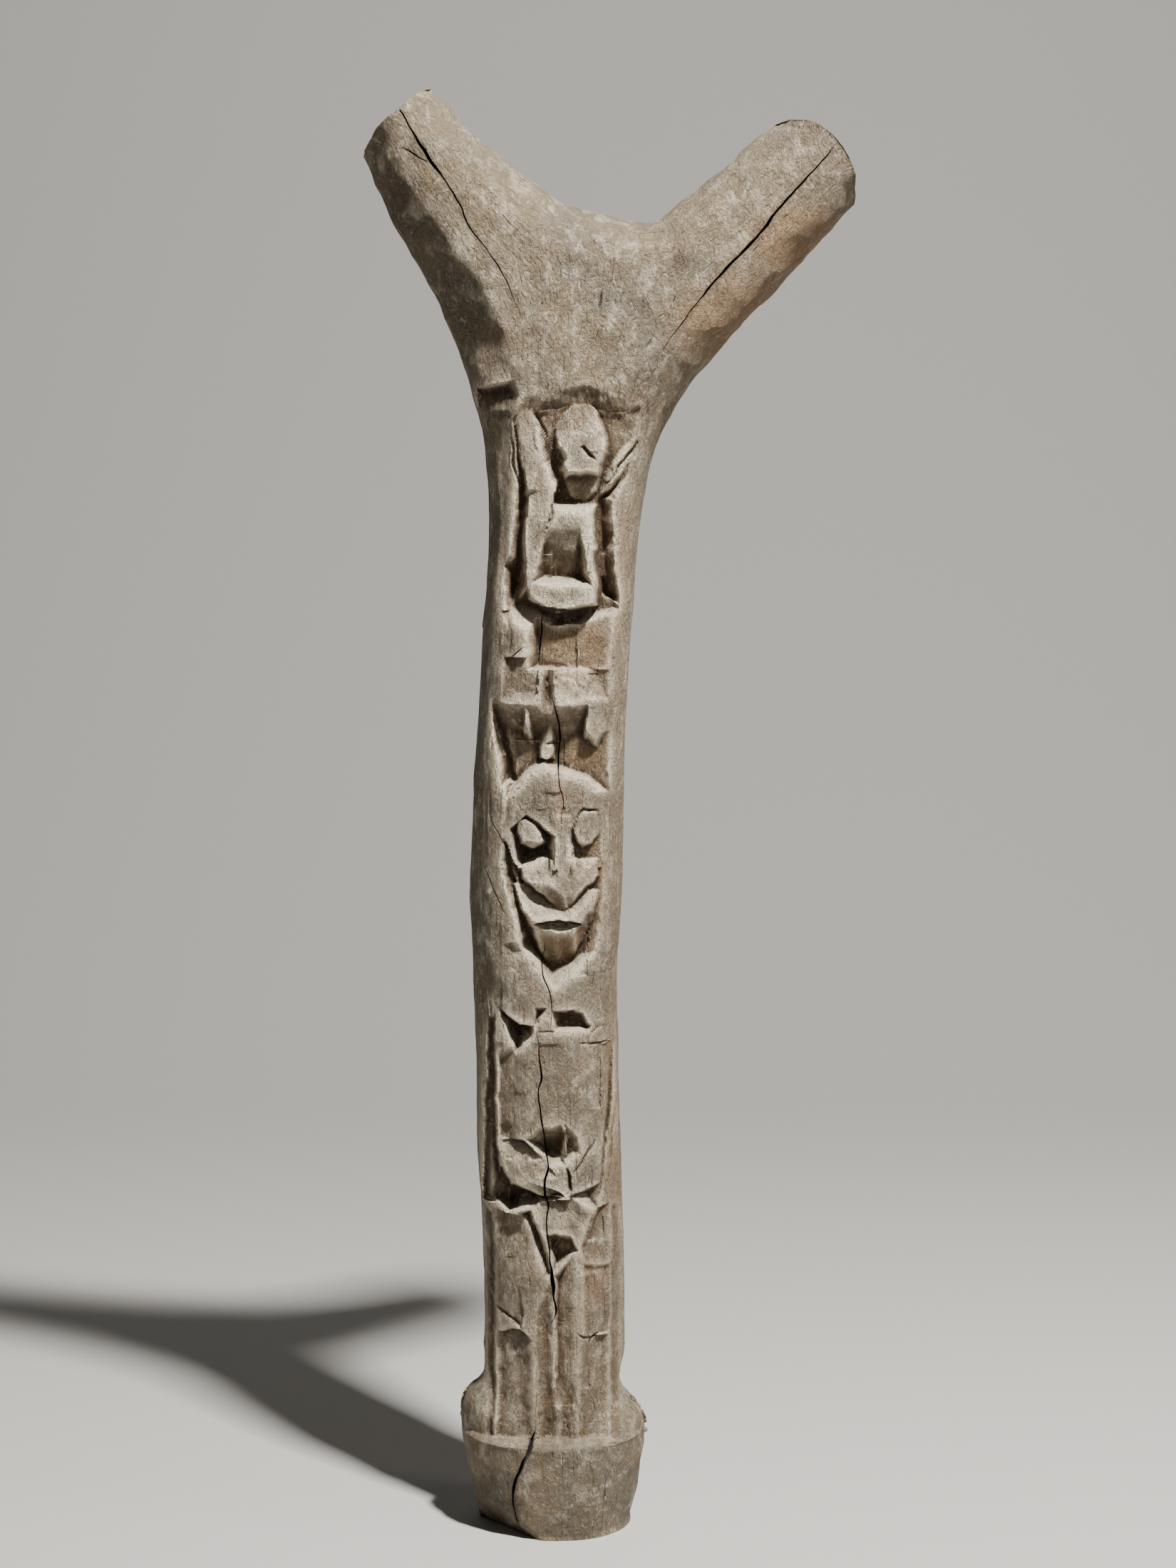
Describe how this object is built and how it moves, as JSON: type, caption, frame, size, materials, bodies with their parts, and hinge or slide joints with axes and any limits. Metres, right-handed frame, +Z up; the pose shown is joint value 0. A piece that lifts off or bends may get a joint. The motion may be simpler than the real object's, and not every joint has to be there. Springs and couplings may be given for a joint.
{
  "type": "carved tribal pillar",
  "caption": "Forked log post carved on its front with a small figure with raised arms over a long standing figure with a mask-like face, on a plinth cut from the same log.",
  "frame": {"origin": "on the ground under the middle of the plinth, at the height of the underside", "axes": "+Z up along the post, +X to the right of a viewer who faces the carved front, the carved front faces -Y"},
  "size_m": [0.32, 0.1149, 0.95],
  "materials": {
    "wood": "old dry unfinished hardwood, grey-tan, adzed and knife cut, with drying cracks and dirt in the hollows"
  },
  "bodies": {
    "root": {"carved_post": "wood"}
  },
  "joints": []
}
